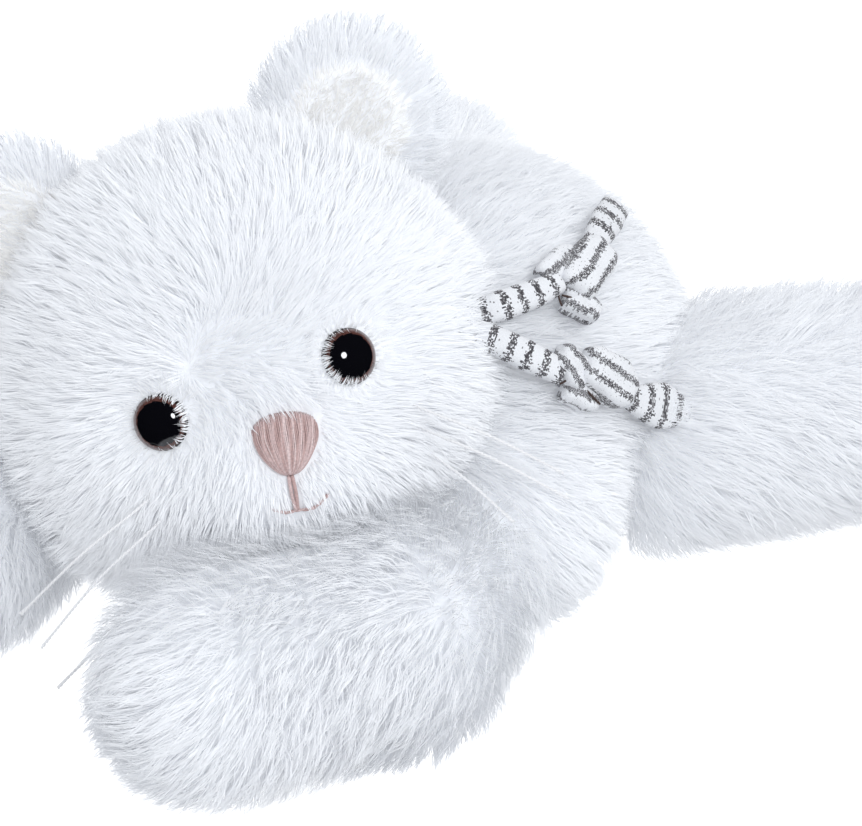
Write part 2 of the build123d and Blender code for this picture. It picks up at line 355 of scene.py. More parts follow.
def grow(name, roots, normals, comb, length, body, lean=LEAN, width=0.3, clump=2.4, mats=FUR,
         shares=FUR_SHARES):
    """Tapered strands of pile as one mesh. Roots, normals and comb are in the row frame."""
    count = len(roots)
    cell = np.floor((roots + swirl(roots, 5.0, 5) * 1.1) / clump).astype(np.int64)
    _, group = np.unique(cell @ np.array((1, 4096, 16777216)), return_inverse=True)
    groups = group.max() + 1
    lay = unit(flatten(comb, normals))
    lay = lay + RNG.normal(0, 0.2, (groups, 3))[group] + RNG.normal(0, 0.09, (count, 3))
    lay = unit(flatten(lay, normals))
    a0 = np.radians(lean[0] + RNG.normal(0, 7, groups)[group] + RNG.normal(0, 4, count))[:, None]
    a1 = np.radians(lean[1] + RNG.normal(0, 9, groups)[group] + RNG.normal(0, 5, count))[:, None]
    reach = (length * RNG.uniform(0.72, 1.12, count))[:, None]
    mid = roots + (normals * np.cos(a0) + lay * np.sin(a0)) * reach * 0.5
    tip = mid + (normals * np.cos(a1) + lay * np.sin(a1)) * reach * 0.5
    size = np.bincount(group).astype(float)[:, None]
    pull = RNG.uniform(0.15, 0.55, groups)[group][:, None]
    for points, share in ((mid, 0.45), (tip, 1.0)):
        mean = np.stack([np.bincount(group, points[:, i]) for i in range(3)], 1) / size
        points += (mean[group] - points) * pull * share
    for other, shape in SHAPES.items():
        if other == body:
            continue
        for points in (mid, tip):
            hit = np.where(shape(points) < 1.0)[0]
            if len(hit):
                points[hit] += slope(shape, points[hit]) * (1.0 - shape(points[hit]))[:, None]
    for points, level in ((mid, 0.7), (tip, 0.5)):
        points[:, 2] = np.maximum(points[:, 2], level)
    roots = roots - normals * 0.4
    roots[:, 2] = np.maximum(roots[:, 2], 0.9)
    run = unit(tip - roots)
    side = unit(np.cross(run, normals) + 1e-6)
    up = np.cross(side, run)
    spin = RNG.uniform(-0.55, 0.55, count)[:, None]
    side0 = side * np.cos(spin) + up * np.sin(spin)
    side1 = side * np.cos(spin * 0.3) + up * np.sin(spin * 0.3)
    w = (width * RNG.uniform(0.7, 1.2, count))[:, None]
    verts = np.empty((count, 5, 3))
    verts[:, 0], verts[:, 1] = roots - side0 * w * 0.5, roots + side0 * w * 0.5
    verts[:, 2], verts[:, 3] = mid - side1 * w * 0.42, mid + side1 * w * 0.42
    verts[:, 4] = tip
    tone = RNG.choice(len(mats), count, p=shares)
    parts = np.array_split(np.argsort(roots[:, 1]), count // MOST_STRANDS + 1)
    for i, part in enumerate(parts):
        base = np.arange(len(part))[:, None] * 5
        strands = [base + np.array((0, 1, 3, 2)), base + np.array((2, 3, 4))]
        label = name if len(parts) == 1 else name + "_" + str(i + 1)
        obj = make_mesh(label, verts[part].reshape(-1, 3), strands, mats, np.tile(tone[part], 2))
        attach(obj, body)


def keep_clear(points, body, margin):
    """True where a point isn't inside or right against another body."""
    ok = np.ones(len(points), bool)
    for other, shape in SHAPES.items():
        if other != body:
            ok &= shape(points) > margin
    return ok


def skin_piece(name, verts, faces, body, nodes):
    """A body's fabric backing, which stands for its CAD cover."""
    obj = make_mesh(name, verts, [faces], [BACKING])
    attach(obj, body)
    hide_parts(*nodes)
    return obj


def hairs(area, per_mm2):
    """How many strands an area carries."""
    return int(area * per_mm2 * DENSITY)


# Head

head_verts, head_faces = skin(head_local, np.zeros(3), 5)
skin_piece("head_backing", to_row(head_verts), head_faces, "head",
           ["head_cover", "head_stuffing"])


def nose_half(v):
    """Half the stitched nose's width at a height from its centre."""
    t = np.clip((v - NOSE_TIP) / (NOSE_TOP - NOSE_TIP), 0, 1)
    return 12.9 * t**0.5 * np.sqrt(np.clip(1 - t**4.2, 0, 1))


def nose_place(u, v):
    """The head's x and z of a point across and up the nose."""
    a = math.radians(NOSE_TILT)
    return (
        NOSE_CENTRE[0] + u * math.cos(a) + v * math.sin(a),
        NOSE_CENTRE[1] - u * math.sin(a) + v * math.cos(a),
    )


def nose_flat(x, z):
    """How far a point of the face is across and up the nose."""
    a = math.radians(NOSE_TILT)
    dx, dz = x - NOSE_CENTRE[0], z - NOSE_CENTRE[1]
    return dx * math.cos(a) - dz * math.sin(a), dx * math.sin(a) + dz * math.cos(a)


def face_depth(x, z):
    """The y of the face's skin at x and z of the head's own frame."""
    x, z = np.broadcast_arrays(np.asarray(x, float), np.asarray(z, float))
    near, far = np.full(x.shape, -95.0), np.full(x.shape, -20.0)
    for _ in range(24):
        mid = (near + far) / 2
        out = head_local(np.stack((x, mid, z), -1).reshape(-1, 3)).reshape(x.shape) > 0
        near, far = np.where(out, mid, near), np.where(out, far, mid)
    return far


MOUTH = np.array(((0.2, -30.6), (-1.2, -40.9), (-7.8, -38.2), (8.9, -39.6)))


def line_gap(q, a, b):
    """Distance of flat points from a line's stretch."""
    d = b - a
    t = np.clip(((q - a) @ d) / (d @ d), 0, 1)
    return np.linalg.norm(q - a - t[:, None] * d, axis=1)


def head_hair():
    """Roots, normals, combing and length of the head's strands."""
    area = area_of(head_verts, head_faces)
    p = scatter(head_verts, head_faces, hairs(area, HEAD_HAIR))
    n = slope(head_local, p)
    row = to_row(p)
    keep = keep_clear(row, "head", 2.0) & (row[:, 2] > 6)
    front = p[:, 1] < -30
    flat = p[:, (0, 2)]
    length = np.full(len(p), PILE)
    muzzle = np.linalg.norm(p - np.array((0, -66, -24.0)), axis=1)
    length = np.where(front, np.interp(muzzle, (8, 22, 48), (5.5, 9.0, PILE)), length)
    comb = p - np.array((0, -66, -16.0))
    comb = comb + swirl(p, 38.0, 3) * 13 + np.array((0, 0, -6.0))
    for eye in EYES:
        gap = np.linalg.norm(p - eye, axis=1)
        keep &= gap > EYE_CLEAR
        length = np.minimum(length, np.interp(gap, (EYE_CLEAR, 10, 17, 26), (3.6, 5.2, 11, 20)))
        ring = np.clip(1 - (gap - EYE_CLEAR) / 6.0, 0, 1)[:, None]
        comb = comb * (1 - ring) + (p - eye) * 5 * ring
    u, v = nose_flat(p[:, 0], p[:, 2])
    top_gap = np.where(v > 2, 1.6, 0.5)
    in_nose = np.abs(u) < nose_half(np.minimum(v, 4.5)) + 0.7
    in_nose &= (v > NOSE_TIP - 0.5) & (v < NOSE_TOP + top_gap)
    keep &= ~(in_nose & front)
    stitch = line_gap(flat, MOUTH[0], MOUTH[1])
    for a, b in ((1, 2), (1, 3)):
        stitch = np.minimum(stitch, line_gap(flat, MOUTH[a], MOUTH[b]))
    keep &= ~((stitch < 1.5) & front)
    length = np.where(front, np.minimum(length, np.interp(stitch, (1.5, 6), (3.5, 12))), length)
    for side in (1, -1):
        base = EAR_BASE * (side, 1, 1)
        keep &= np.linalg.norm(p - base, axis=1) > 9
    p, n, row, length, comb = p[keep], n[keep], row[keep], length[keep], comb[keep]
    comb = comb @ HEAD_TURN.T
    comb[:, 2] -= 8
    return row, n @ HEAD_TURN.T, comb, length


row, normal, comb, length = head_hair()
grow("head_fur", row, normal, comb, length, "head")


def eye_rim_fur(label, eye):
    """Short strands that stand at the inner side of an eye and bend over its rim."""
    out = slope(head_local, eye[None])[0]
    across = unit(np.cross(out, (0, 0, 1.0)))
    inner = math.pi if np.sign(across[0]) == np.sign(eye[0]) else 0.0
    angle = inner + RNG.normal(-0.35, 0.95, int(300 * DENSITY))
    ring = np.cos(angle)[:, None] * across + np.sin(angle)[:, None] * np.cross(across, out)
    roots = eye + ring * RNG.uniform(7.9, 9.2, len(angle))[:, None] - out * 0.4
    reach = RNG.uniform(3.6, 5.4, len(angle))
    turned = HEAD_TURN.T
    normals = np.tile(out, (len(angle), 1)) @ turned
    grow(
        "eye_rim_fur_" + label,
        to_row(roots),
        normals,
        -ring @ turned,
        reach,
        "head",
        lean=(8, 50),
        width=0.22,
    )


eye_rim_fur("left", EYES[0])
eye_rim_fur("right", EYES[1])


# Torso, legs and tail


def limb_comb(p, a, b, pull=0.5):
    """Fur laid from a towards b and a little downwards."""
    d = unit(np.asarray(b, float) - a)
    lay = np.tile(d, (len(p), 1)) + swirl(p, 45.0, 8) * 0.35
    lay[:, 2] -= pull
    return lay


def parts_of(limb):
    """The names of a limb's CAD nodes."""
    return [limb + end for end in ("_cover", "_stuffing", "_seam_thread")]


def cover(body, centre, level, nodes, comb_of, along=None, stretch=1.0, pile=PILE, lean=LEAN):
    """A body's backing and its pile."""
    verts, faces = skin(SHAPES[body], centre, level, along, stretch, floor=2.0)
    skin_piece(body + "_backing", verts, faces, body, nodes)
    p = scatter(verts, faces, hairs(area_of(verts, faces), BODY_HAIR))
    n = slope(SHAPES[body], p)
    n = np.where(p[:, 2:3] < 2.05, np.array((0, 0, -1.0)), n)
    keep = keep_clear(p, body, 2.0) & (p[:, 2] > 2.3)
    if body == "torso":
        keep &= ball(p, HEAD_CENTRE, 70.0) > 0
    p, n = p[keep], n[keep]
    grow(body + "_fur", p, n, comb_of(p), np.full(len(p), pile), body, lean)


def torso_comb(p):
    """Fur laid back along the body, outwards and a little down."""
    lay = np.tile(np.array((0, 1.0, 0)), (len(p), 1)) + swirl(p, 60.0, 21) * 0.4
    lay[:, 0] += p[:, 0] * 0.006
    lay[:, 2] -= 0.45
    return lay


cover(
    "torso",
    np.array((0, 34.0, 50.0)),
    5,
    ["torso_cover", "torso_stuffing", "pellet_bag", "belly_seam_thread"],
    torso_comb,
    pile=15.0,
    lean=(44, 70),
)
for side, label in ((1, "left"), (-1, "right")):
    s = np.array((side, 1.0, 1.0))
    cover(
        "foreleg_" + label,
        ELBOW * s + (PAW - ELBOW) * s * 0.2,
        5,
        parts_of("foreleg_" + label),
        lambda p, s=s: limb_comb(p, SHOULDER * s, PAW * s),
        (PAW - SHOULDER) * s,
        1.8,
    )
    cover(
        "hind_leg_" + label,
        (HIP + FOOT) * s / 2,
        5,
        parts_of("hind_leg_" + label),
        lambda p, s=s: limb_comb(p, HIP * s, FOOT * s),
        (FOOT - HIP) * s,
        1.8,
    )
cover(
    "tail",
    (TAIL_ROOT + TAIL_TIP) / 2,
    4,
    parts_of("tail"),
    lambda p: limb_comb(p, TAIL_ROOT, TAIL_TIP, 0.2),
    TAIL_TIP - TAIL_ROOT,
    2.0,
    14.0,
)


# Ears


def ear_shape(p):
    """An ear standing on its base, dished in front."""
    d = egg(p, (0, 0, 10), (27, 8.0, 28))
    d = np.maximum(d, -egg(p, (0, -11.5, 12), (18, 6.5, 19)))
    return blend_min(d, egg(p, (0, 1, -3), (23, 6.0, 8)), 6)


def ear(side, label):
    """An ear's backing, its fur and the short cream pile of its lining."""
    place = turn("Y", side * EAR_LEAN)
    base = EAR_BASE * (side, 1, 1)
    local = HEAD_TURN @ place
    body = "ear_" + label
    verts, faces = skin(ear_shape, np.array((0, 2.0, 6.0)), 5)
    ear_row = to_row(verts @ place.T + base)
    skin_piece(body + "_backing", ear_row, faces, body, [body + "_back", body + "_lining"])
    p = scatter(verts, faces, hairs(area_of(verts, faces), EAR_HAIR))
    n = slope(ear_shape, p)
    lining = (p[:, 1] < 1.0) & (np.hypot(p[:, 0], p[:, 2] - 9) < 17)
    above = p[:, 2] > -2.0
    for part, mask, reach, looks in (
        ("_fur", ~lining & above, 9.5, {"lean": (40, 62), "clump": 2.4}),
        ("_pile", lining & above, 6.0,
         {"lean": (20, 40), "clump": 1.8, "mats": CREAM, "shares": CREAM_SHARES}),
    ):
        q = p[mask]
        root = to_row(q @ place.T + base)
        lay = (q - np.array((0, 0, -14.0))) @ local.T
        grow(body + part, root, n[mask] @ local.T, lay, np.full(len(q), reach), body, **looks)


ear(1, "left")
ear(-1, "right")


# Threads and tubes


def fine_line(points, step):
    """A smooth line through points, with even steps."""
    p = np.asarray(points, float)
    ends = np.vstack((2 * p[0] - p[1], p, 2 * p[-1] - p[-2]))
    out = []
    for i in range(len(p) - 1):
        a, b, c, d = ends[i : i + 4]
        t = np.linspace(0, 1, 24, endpoint=False)[:, None]
        square, cube = 2 * a - 5 * b + 4 * c - d, 3 * b - a - 3 * c + d
        out.append(0.5 * (2 * b + (c - a) * t + square * t**2 + cube * t**3))
    line = np.vstack(out + [p[-1:]])
    along = np.concatenate(([0], np.cumsum(np.linalg.norm(np.diff(line, axis=0), axis=1))))
    even = np.linspace(0, along[-1], max(int(along[-1] / step), 3) + 1)
    return np.stack([np.interp(even, along, line[:, k]) for k in range(3)], 1), even


def line_frame(line, up):
    """Unit vectors along a line, across it and out of it, with up as the wanted way out."""
    run = unit(np.gradient(line, axis=0))
    up = np.broadcast_to(np.asarray(up, float), line.shape)
    out = unit(up - (up * run).sum(1)[:, None] * run)
    return run, np.cross(run, out), out


def closed_tube(rings):
    """A closed skin over rings of points, an array of ring by point by three."""
    n, m = rings.shape[:2]
    verts = np.vstack((rings.reshape(-1, 3), rings[0].mean(0), rings[-1].mean(0)))
    i, j = np.meshgrid(np.arange(n - 1), np.arange(m), indexing="ij")
    k = (j + 1) % m
    quads = np.stack((i * m + j, i * m + k, (i + 1) * m + k, (i + 1) * m + j), -1).reshape(-1, 4)
    j = np.arange(m)
    k = (j + 1) % m
    first = np.stack((k, j, np.full(m, n * m)), 1)
    last = np.stack(((n - 1) * m + j, (n - 1) * m + k, np.full(m, n * m + 1)), 1)
    return verts, quads, np.vstack((first, last))


def round_rings(line, up, radius, sides):
    """Rings round a line, for a tube."""
    _, across, out = line_frame(line, up)
    a = np.linspace(0, 2 * math.pi, sides, endpoint=False)[None, :, None]
    radius = np.broadcast_to(np.asarray(radius, float), (len(line),))[:, None, None]
    return line[:, None] + radius * (across[:, None] * np.cos(a) + out[:, None] * np.sin(a))


class Bundle:
    """Several closed tubes joined as one mesh."""

    def __init__(self):
        self.verts, self.quads, self.tris = [], [], []
        self.quad_tone, self.tri_tone = [], []
        self.count = 0

    def add(self, rings, tone=0):
        """One more tube, with a material number for all of it or for each quad."""
        verts, quads, tris = closed_tube(rings)
        self.verts.append(verts)
        self.quads.append(quads + self.count)
        self.tris.append(tris + self.count)
        self.quad_tone.append(np.broadcast_to(np.asarray(tone), (len(quads),)))
        self.tri_tone.append(np.full(len(tris), np.ravel(tone)[0]))
        self.count += len(verts)

    def build(self, name, mats, body, place=None):
        """The tubes as one object on a body."""
        verts = np.vstack(self.verts)
        verts = verts if place is None else place(verts)
        tone = np.concatenate(self.quad_tone + self.tri_tone)
        obj = make_mesh(name, verts, [np.vstack(self.quads), np.vstack(self.tris)], mats, tone)
        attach(obj, body)
        return obj


# Eyes

PUPIL = plain("pupil_black", (0.003, 0.003, 0.0045), 0.05, Coat_Weight=1.0)
IRIS = plain("iris_brown", (0.09, 0.038, 0.033), 0.12, Coat_Weight=0.6)
mottle(IRIS, (0.115, 0.05, 0.042), (0.065, 0.026, 0.022), 700.0)
# A thin matte near-black edge round each eye: painted shade where the dome sinks into the fur.
RIM_SHADE = plain("eye_rim", (0.02, 0.011, 0.01), 0.25, Specular_IOR_Level=0.1)


def eye(label, centre):
    """A glossy dome: a black pupil set a little towards the nose on a dark brown ring, with a thin matte
    near-black edge of painted shade where the dome meets the fur.
    """
    out = slope(head_local, centre[None])[0]
    out = unit(out + unit(centre) * 0.6)
    across = unit(np.cross(out, (0, 0, 1.0)))
    up = np.cross(across, out)
    rings, sides = 26, 56
    tilt = np.linspace(0.04, math.pi / 2, rings)[:, None, None]
    a = np.linspace(0, 2 * math.pi, sides, endpoint=False)[None, :, None]
    dome = EYE_RADIUS * np.sin(tilt) * (across * np.cos(a) + up * np.sin(a))
    dome = dome + EYE_HEIGHT * np.cos(tilt) * out
    skirt = dome[-1:] * 0.98 - out * 4.0
    points = np.concatenate((dome, skirt)) + centre - out * 0.2
    middle = (points[:-1] + points[1:]) / 2 - centre
    middle = (middle + np.roll(middle, -1, 1)) / 2
    shift = 0.75 * np.array((-math.copysign(1, centre[0]), 0, 0.1))
    gap = np.linalg.norm(np.cross(middle - shift, out), axis=-1).ravel()
    radius = np.linalg.norm(np.cross(middle, out), axis=-1).ravel()
    # Tone 2, the outer edge and the skirt, is the painted shade.
    tone = np.where(gap < 6.5, 0, np.where(radius < 7.9, 1, 2))
    bundle = Bundle()
    bundle.add(points, tone)
    obj = bundle.build("eye_" + label, [PUPIL, IRIS, RIM_SHADE], "head", to_row)
    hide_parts("eye_" + label + "_lens", "eye_" + label + "_base")


eye("left", EYES[0])
eye("right", EYES[1])

# Nose and mouth



def rose(number, colour):
    """One tone of the rose thread; the darkest tone is painted shade for the nose pad."""
    mat = plain("rose_thread_" + str(number), colour, 0.42, Sheen_Weight=0.3)
    return mottle(mat, [c * 1.12 for c in colour], [c * 0.84 for c in colour], 1800.0, 0.4)


ROSE = [rose(0, (0.65, 0.485, 0.475)), rose(1, (0.54, 0.365, 0.35)), rose(2, (0.76, 0.61, 0.6))]
# The fourth, darkest rose is painted shade: it colours only the nose pad, which shows in the gaps
# between the threads.
ROSE.append(rose(3, (0.36, 0.2025, 0.189)))
THREADS = 44
NOSE_BULGE = 3.4


def nose_bump(u, v):
    """How far the padded nose stands out of the face."""
    h = nose_half(v) + 0.25
    side = np.sqrt(np.clip(1 - (u / h) ** 2, 0, 1))
    low = np.sqrt(np.clip((v - NOSE_TIP + 0.2) / 5, 0, 1))
    high = np.sqrt(np.clip((NOSE_TOP + 0.2 - v) / 3, 0, 1))
    return NOSE_BULGE * side * low * high


def nose():
    """The padded form and the threads of satin stitch over it, which meet at its tip."""
    d, faces = globe(5)
    t = (d[:, 2] + 1) / 2
    v = NOSE_TIP + t * (NOSE_TOP - NOSE_TIP)
    ring = np.sqrt(np.clip(1 - d[:, 2] ** 2, 1e-6, 1))
    u = np.clip(d[:, 0] / ring, -1, 1) * nose_half(v)
    x, z = nose_place(u, v)
    y = face_depth(x, z)
    y = np.where(d[:, 1] < 0, y - 0.1 - nose_bump(u, v), y + 2.0 * np.maximum(d[:, 1], 0))
    # The pad takes the darkest rose: painted shade in the gaps between the threads.
    backing = make_mesh("nose_pad", to_row(np.stack((x, y, z), 1)), [faces], [ROSE[3]])
    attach(backing, "head")
    heights = np.linspace(NOSE_TIP, NOSE_TOP, 400)
    widest = heights[np.argmax(nose_half(heights))]
    most = nose_half(widest)
    bundle = Bundle()
    for i in range(THREADS):
        share = (i + 0.5) / THREADS * 2 - 1
        above = heights[(heights >= widest) & (nose_half(heights) >= abs(share) * most)]
        top = above[-1] if len(above) else widest
        v = np.linspace(top + RNG.uniform(-0.1, 0.25), NOSE_TIP + 0.1, 30)
        u = share * np.where(v < widest, nose_half(v), most) + RNG.normal(0, 0.04)
        u = u + 0.12 * np.sin(np.linspace(0, 9, 30) + i)
        x, z = nose_place(u, v)
        y = face_depth(x, z) - 0.28 - nose_bump(u, v)
        y[0] += 0.9
        y[-1] += 0.5
        line = np.stack((x, y, z), 1)
        bundle.add(round_rings(line, (0, -1, 0), 0.235, 6), int(RNG.choice(3, p=(0.5, 0.3, 0.2))))
    obj = bundle.build("nose_threads", ROSE, "head", to_row)
    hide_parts("nose_stitching")


def face_line(points, lift, step=0.5):
    """A line over the face through points given by x and z."""
    flat = np.array([(x, 0.0, z) for x, z in points])
    line, _ = fine_line(flat, step)
    line[:, 1] = face_depth(line[:, 0], line[:, 2]) - lift
    return line


def mouth():
    """Two straight stitches down from the nose, and a twisted thread for each half of the smile."""
    bundle = Bundle()
    top, foot, left, right = MOUTH
    for shift in (-0.5, 0.5):
        middle = (top + foot) / 2 + (shift * 1.3, 0)
        line = face_line((top + (shift, 0), middle, foot + (shift * 0.6, 0)), 1.0)
        line[0, 1] += 1.0
        line[-1, 1] += 1.2
        bundle.add(round_rings(line, (0, -1, 0), 0.55, 8), 0 if shift < 0 else 1)
    for end, sag in ((left, -0.9), (right, -1.7)):
        line = face_line((foot, (foot + end) / 2 + (0, sag), end), 0.9)
        line[-1, 1] += 1.4
        turn_angle = np.linspace(0, 14, len(line))
        _, across, out = line_frame(line, (0, -1, 0))
        for ply in (0, math.pi):
            side = np.cos(turn_angle + ply)[:, None] * across
            side = side + np.sin(turn_angle + ply)[:, None] * out
            bundle.add(round_rings(line + side * 0.24, (0, -1, 0), 0.3, 6), 1 if ply else 0)
    obj = bundle.build("mouth_threads", ROSE, "head", to_row)
    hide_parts("mouth_stitching")


nose()
mouth()

# Whiskers

WHISKER = plain("whisker_thread", (0.93, 0.93, 0.94), 0.4, Sheen_Weight=0.2)
mottle(WHISKER, (0.95, 0.95, 0.96), (0.86, 0.86, 0.88), 1500.0, 0.2)
WHISKERS = {
    "whisker_left_upper": ((41.0, -44.5, -25.0), (74.7, -66.5, -57.0), 2.0),
    "whisker_left_middle": ((40.5, -40.5, -32.0), (73.5, -69.5, -64.0), 2.0),
    "whisker_left_lower": ((40.0, -33.0, -39.5), (56.9, -59.7, -66.7), 2.0),
    "whisker_right_upper": ((-41.0, -44.5, -25.0), (-86.0, -51.5, -45.5), 2.0),
    "whisker_right_middle": ((-39.0, -42.0, -32.0), (-83.5, -52.5, -56.5), 2.6),
    "whisker_right_lower": ((-37.0, -36.0, -39.5), (-83.0, -54.0, -69.0), -2.0),
}


def whisker(name, root, tip, bow):
    """Two plies twisted together, a little bowed, with a thicker melted tip."""
    root, tip = np.array(root), np.array(tip)
    pile_root = root + (0, -18.5, 0)
    middle = (pile_root + tip) / 2 + np.array((0, -0.5, 1.0)) * bow + (0, -6.0, 0)
    line, along = fine_line((root * 0.95, pile_root, middle, tip), 0.35)
    _, across, out = line_frame(line, (0, -1, 0))
    spin = along / 3.1 * 2 * math.pi
    thick = 0.27 + 0.1 * np.clip((along - along[-1] + 5) / 5, 0, 1)
    bundle = Bundle()
    for ply in (0, math.pi):
        side = np.cos(spin + ply)[:, None] * across + np.sin(spin + ply)[:, None] * out
        bundle.add(round_rings(line + side * thick[:, None] * 0.85, (0, -1, 0), thick, 7))
    obj = bundle.build(name.replace("whisker", "whisker_strands"), [WHISKER], "head", to_row)
    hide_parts(name)


for name, (root, tip, bow) in WHISKERS.items():
    whisker(name, root, tip, bow)

# Ribbon



def yarn(name, low, high):
    """One yarn of the jersey."""
    mat = plain("knit_" + name, high, 0.85, Sheen_Weight=0.15)
    return mottle(mat, high, low, 2200.0, 0.6)


KNIT = [
    yarn("white", (0.78, 0.79, 0.82), (0.86, 0.87, 0.9)),
    yarn("charcoal", (0.045, 0.042, 0.048), (0.105, 0.1, 0.11)),
    yarn("grey", (0.17, 0.165, 0.18), (0.3, 0.295, 0.31)),
]
# A dark brown for the tubes in the knot's creases: painted shade.
CREASE_SHADE = plain("painted_crease_shade", (0.075, 0.045, 0.04), 0.8)
mottle(CREASE_SHADE, (0.1, 0.062, 0.055), (0.05, 0.03, 0.026), 2500.0, 0.4)
STRIPE_PITCH = 5.6
STRIPE_WIDTH = 2.2
STRIP_SIDES = 64
PAD_POWER = 3.4  # how square a folded pad is


def stripes(across, column):
    """Which yarn shows: ragged dark bars at an even pitch, with a few lighter stitches."""
    column = np.asarray(column).astype(int)
    ragged = RNG.normal(0, 0.34, column.max() + 2)[column]
    place = np.mod(across + ragged + RNG.normal(0, 0.12, across.shape), STRIPE_PITCH)
    dark = place < STRIPE_WIDTH
    pick = RNG.random(across.shape)
    bar = np.where(pick < 0.52, 1, np.where(pick < 0.8, 2, 0))
    return np.where(dark, bar, np.where(pick < 0.015, 2, 0))


def strip(points, half_width, half_depth, start=0.0, up=None, pace=1.0):
    """A soft flattened tube of jersey along points, with stripes across it."""
    line, along = fine_line(points, 0.34)
    share = along / along[-1]
    w = np.interp(share, np.linspace(0, 1, len(half_width)), half_width)
    h = np.interp(share, np.linspace(0, 1, len(half_depth)), half_depth)
    _, across, out = line_frame(line, slope(torso, line) if up is None else up)
    a = np.linspace(0, 2 * math.pi, STRIP_SIDES, endpoint=False)
    ca, sa = np.cos(a), np.sin(a)
    shape_a = np.sign(ca) * np.abs(ca) ** 0.8
    shape_b = np.sign(sa) * np.abs(sa) ** 0.8
    knit = 1 + 0.018 * np.cos(a * STRIP_SIDES / 2)[None] * np.cos(along * 2 * math.pi / 0.9)[:, None]
    knit = knit * (1 + 0.02 * np.sin(along / 1.9)[:, None] * np.sin(2 * a + 1)[None])
    rings = (
        line[:, None]
        + across[:, None] * (w[:, None] * shape_a[None] * knit)[..., None]
        + out[:, None] * (h[:, None] * shape_b[None] * knit)[..., None]
    )
    where = np.repeat(along[:-1] * pace + start, STRIP_SIDES)
    column = np.tile(np.arange(STRIP_SIDES), len(along) - 1)
    bundle = Bundle()
    bundle.add(rings, stripes(where, column))
    return bundle


def pad(name, centre, run, up, half, offset):
    """A folded lump of the knot, with stripes along its length."""
    d, faces = globe(6)
    scale = (np.abs(d) ** PAD_POWER).sum(1) ** (-1 / PAD_POWER)
    q = d * scale[:, None]
    run, up = unit(np.asarray(run, float)), np.asarray(up, float)
    out = unit(up - (up @ run) * run)
    side = np.cross(run, out)
    dent = 1 - 0.07 * np.exp(-(((q[:, 1] - 0.25 * q[:, 0]) * 3.2) ** 2))
    dent = dent - 0.05 * np.sin(q[:, 0] * 5 + q[:, 1] * 3)
    half = np.asarray(half, float)
    local = q * half * dent[:, None]
    verts = np.asarray(centre) + local @ np.stack((run, side, out))
    mid = local[faces].mean(1)
    over = mid[:, 1] + 0.5 * np.sign(mid[:, 2]) * (half[2] - np.abs(mid[:, 2]))
    column = np.floor((mid[:, 0] - mid[:, 0].min()) / 0.5)
    tone = stripes(over + offset, column)
    obj = make_mesh(name, verts, [faces], KNIT, tone)
    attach(obj, "torso")


def crease(name, lines):
    """Dark tubes of painted shade laid in the creases where the folds of a knot meet."""
    bundle = Bundle()
    for points in lines:
        line, _ = fine_line(points, 0.5)
        bundle.add(round_rings(line, (0, 0.1, 1), 0.33, 6))
    obj = bundle.build(name, [CREASE_SHADE], "torso")


def ribbon_piece(name, bundle, *nodes):
    """A length of the ribbon, and the CAD nodes it stands for."""
    obj = bundle.build(name, KNIT, "torso")
    if nodes:
        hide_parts(*nodes)


BOW = ((28.5, 7.5, 68.5), (39.2, 3.0, 83.4), (48.0, -6.5, 99.0))
UPPER_RUN = (
    (50.0, -14.0, 102.0),
    (55.8, -7.8, 105.6),
    (58.2, 0.0, 106.4),
    (60.2, 8.5, 107.0),
    (60.6, 15.5, 107.4),
)
UPPER_KNOT = np.array((61.0, 27.9, 107.7))
UPPER_END = ((54.6, 37.0, 109.6), (50.8, 45.6, 110.2), (46.0, 54.8, 110.0), (42.5, 61.0, 109.4))
LOWER_RUN = (
    (57.0, -16.0, 101.0),
    (62.5, -12.5, 99.0),
    (68.0, -8.0, 95.5),
    (73.0, -3.0, 91.5),
    (76.0, 0.5, 88.5),
)
LOWER_KNOT = np.array((80.4, 15.9, 82.6))
LOWER_END = (
    (81.9, 23.9, 73.1),
    (82.9, 29.7, 69.4),
    (84.0, 35.9, 66.1),
    (85.4, 41.6, 63.0),
    (86.6, 46.4, 60.4),
)


def upper_ribbon():
    """The upper end of the bow: a run, a knot of three folds and a short end."""
    run = strip(UPPER_RUN, (4.3, 4.7, 4.4, 3.4), (2.4, 3.0, 3.0, 2.6))
    ribbon_piece("ribbon_upper_run", run, "ribbon_upper_tail")
    end = strip(UPPER_END, (3.3, 4.5, 5.0, 4.9, 4.5), (2.6, 2.8, 2.6, 2.4, 2.0), start=1.5, pace=0.7)
    ribbon_piece("ribbon_upper_end", end)
    up = slope(torso, UPPER_KNOT[None])[0]
    knot = "ribbon_upper_knot_"
    pad(knot + "face", UPPER_KNOT, (-0.42, 1.21, 0.3), up, (11.2, 6.8, 5.0), 1.2)
    pad(knot + "fold", (66.1, 19.2, 99.9), (0.62, 0.68, -0.49), up, (6.6, 4.0, 3.8), 3.4)
    pad(knot + "loop", (55.8, 19.8, 109.6), (-0.16, 0.98, 0.11), up, (8.4, 4.2, 4.2), 0.3)
    crease(
        "ribbon_upper_crease_shade",
        (
            ((56.6, 9.5, 108.9), (58.6, 11.9, 107.8), (60.5, 14.6, 106.4)),
            ((61.8, 14.5, 106.6), (63.6, 12.5, 104.7), (65.5, 11.8, 102.6)),
            ((64.4, 13.0, 105.4), (66.1, 15.6, 104.1), (68.1, 18.2, 102.1)),
        ),
    )


